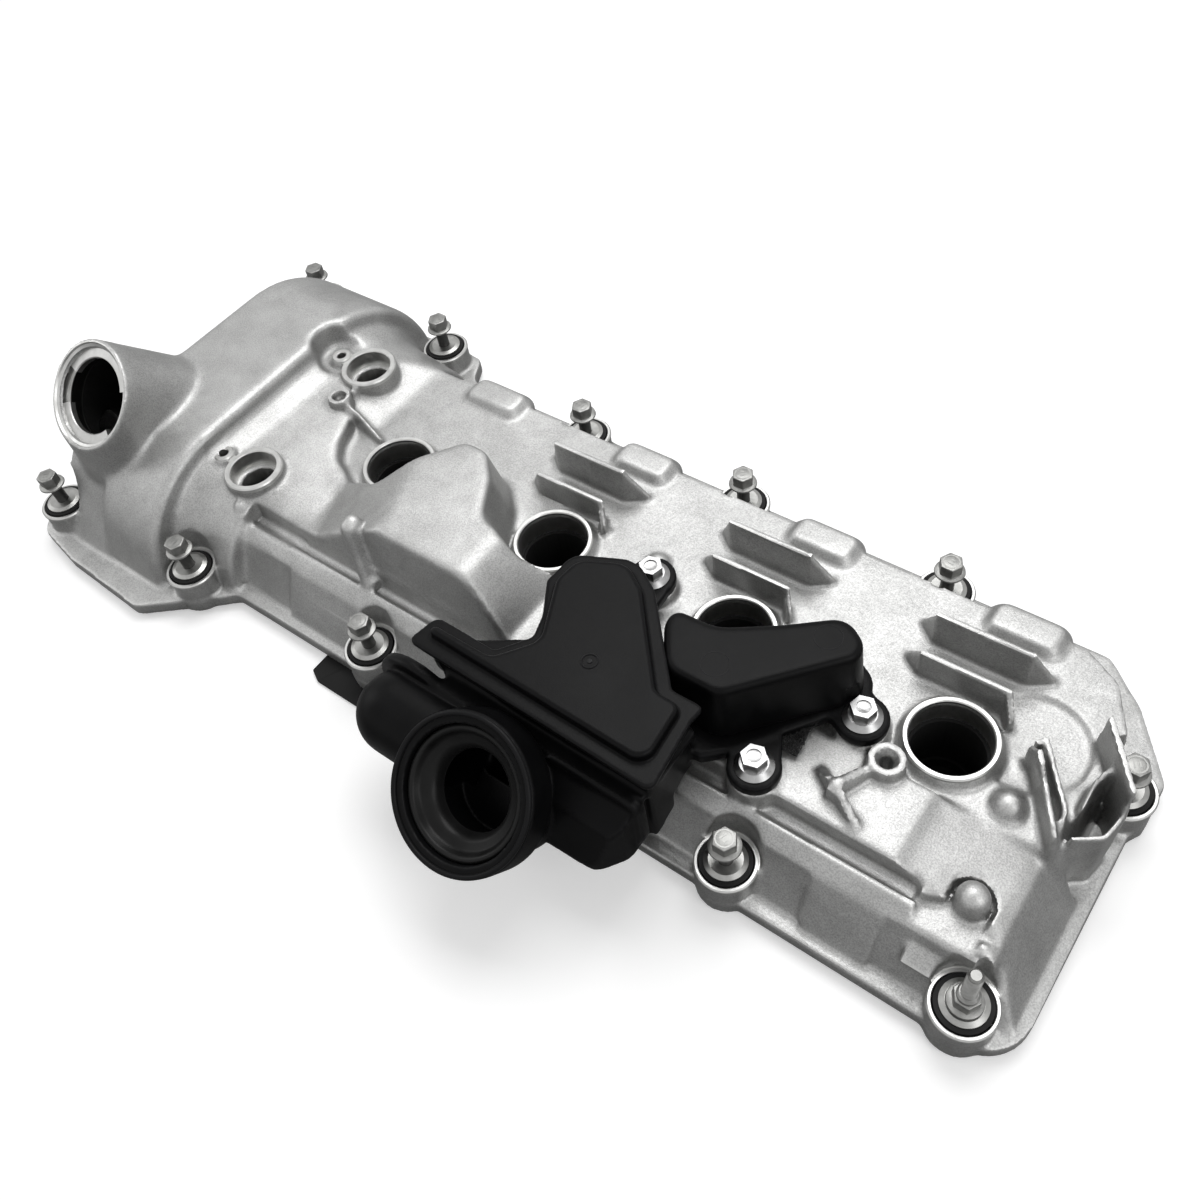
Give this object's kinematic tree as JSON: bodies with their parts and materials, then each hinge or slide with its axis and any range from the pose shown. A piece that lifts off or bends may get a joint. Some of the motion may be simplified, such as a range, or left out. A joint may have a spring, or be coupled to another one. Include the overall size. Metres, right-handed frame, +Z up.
{
  "type": "engine valve cover",
  "caption": "Cast aluminium engine valve cover with gasket, captive flange bolts, coil wells, oil filler neck and a bolted-on black plastic breather.",
  "frame": {"origin": "centre of the first coil well at the underside of the gasket", "axes": "+X along the cover away from the oil filler end, +Y across it away from the breather's port, +Z up, out of the coil wells"},
  "size_m": [0.5935, 0.2832, 0.1137],
  "materials": {
    "cast_aluminium": "satin",
    "black_rubber": "matte",
    "black_plastic": "matte",
    "mesh_plastic": "matte",
    "dull_zinc": "dull",
    "bright_zinc": "bright"
  },
  "bodies": {
    "cover": {"cover_casting": "cast_aluminium", "perimeter_gasket": "black_rubber", "breather_body": "black_plastic", "breather_main_lid": "black_plastic", "breather_rear_cover": "black_plastic", "breather_port_seal": "black_rubber", "breather_vent_gasket": "black_rubber", "separator_mesh": "mesh_plastic", "plug_tube_seal_1": "black_rubber", "plug_tube_seal_2": "black_rubber", "plug_tube_seal_3": "black_rubber", "plug_tube_seal_4": "black_rubber", "bolt_washer_1": "dull_zinc", "bolt_washer_2": "dull_zinc", "bolt_washer_3": "dull_zinc", "bolt_washer_4": "dull_zinc", "bolt_washer_5": "dull_zinc", "bolt_washer_6": "dull_zinc", "bolt_washer_7": "dull_zinc", "bolt_washer_8": "dull_zinc", "bolt_washer_9": "dull_zinc", "bolt_washer_10": "dull_zinc", "bolt_washer_11": "dull_zinc", "bolt_washer_12": "dull_zinc", "bolt_grommet_1": "black_rubber", "bolt_grommet_2": "black_rubber", "bolt_grommet_3": "black_rubber", "bolt_grommet_4": "black_rubber", "bolt_grommet_5": "black_rubber", "bolt_grommet_6": "black_rubber", "bolt_grommet_7": "black_rubber", "bolt_grommet_8": "black_rubber", "bolt_grommet_9": "black_rubber", "bolt_grommet_10": "black_rubber", "bolt_grommet_11": "black_rubber", "bolt_grommet_12": "black_rubber", "breather_sleeve_1": "bright_zinc", "breather_sleeve_2": "bright_zinc", "breather_sleeve_3": "bright_zinc", "breather_screw_1": "bright_zinc", "breather_screw_2": "bright_zinc", "breather_screw_3": "bright_zinc"},
    "bolt_1": {"cover_bolt_1": "dull_zinc"},
    "bolt_2": {"cover_bolt_2": "dull_zinc"},
    "bolt_3": {"cover_bolt_3": "dull_zinc"},
    "bolt_4": {"cover_bolt_4": "dull_zinc"},
    "bolt_5": {"cover_bolt_5": "dull_zinc"},
    "bolt_6": {"cover_bolt_6": "dull_zinc"},
    "bolt_7": {"cover_bolt_7": "dull_zinc"},
    "bolt_8": {"cover_bolt_8": "dull_zinc"},
    "bolt_9": {"cover_bolt_9": "dull_zinc"},
    "bolt_10": {"cover_bolt_10": "dull_zinc"},
    "bolt_11": {"cover_bolt_11": "dull_zinc"},
    "stud": {"stud_bolt": "dull_zinc"}
  },
  "joints": [
    {"name": "bolt_slide_1", "type": "slide", "parent": "cover", "child": "bolt_1", "axis": [0, 0, 1], "range_m": [-0.0119, 0]},
    {"name": "bolt_slide_2", "type": "slide", "parent": "cover", "child": "bolt_2", "axis": [0, 0, 1], "range_m": [-0.0119, 0]},
    {"name": "bolt_slide_3", "type": "slide", "parent": "cover", "child": "bolt_3", "axis": [0, 0, 1], "range_m": [-0.0119, 0]},
    {"name": "bolt_slide_4", "type": "slide", "parent": "cover", "child": "bolt_4", "axis": [0, 0, 1], "range_m": [-0.0119, 0]},
    {"name": "bolt_slide_5", "type": "slide", "parent": "cover", "child": "bolt_5", "axis": [0, 0, 1], "range_m": [-0.0119, 0]},
    {"name": "bolt_slide_6", "type": "slide", "parent": "cover", "child": "bolt_6", "axis": [0, 0, 1], "range_m": [-0.0119, 0]},
    {"name": "bolt_slide_7", "type": "slide", "parent": "cover", "child": "bolt_7", "axis": [0, 0, 1], "range_m": [-0.0119, 0]},
    {"name": "bolt_slide_8", "type": "slide", "parent": "cover", "child": "bolt_8", "axis": [0, 0, 1], "range_m": [-0.0119, 0]},
    {"name": "bolt_slide_9", "type": "slide", "parent": "cover", "child": "bolt_9", "axis": [0, 0, 1], "range_m": [-0.0119, 0]},
    {"name": "bolt_slide_10", "type": "slide", "parent": "cover", "child": "bolt_10", "axis": [0, 0, 1], "range_m": [-0.0119, 0]},
    {"name": "bolt_slide_11", "type": "slide", "parent": "cover", "child": "bolt_11", "axis": [0, 0, 1], "range_m": [-0.0119, 0]},
    {"name": "stud_slide", "type": "slide", "parent": "cover", "child": "stud", "axis": [0, 0, 1], "range_m": [-0.0009, 0]}
  ]
}
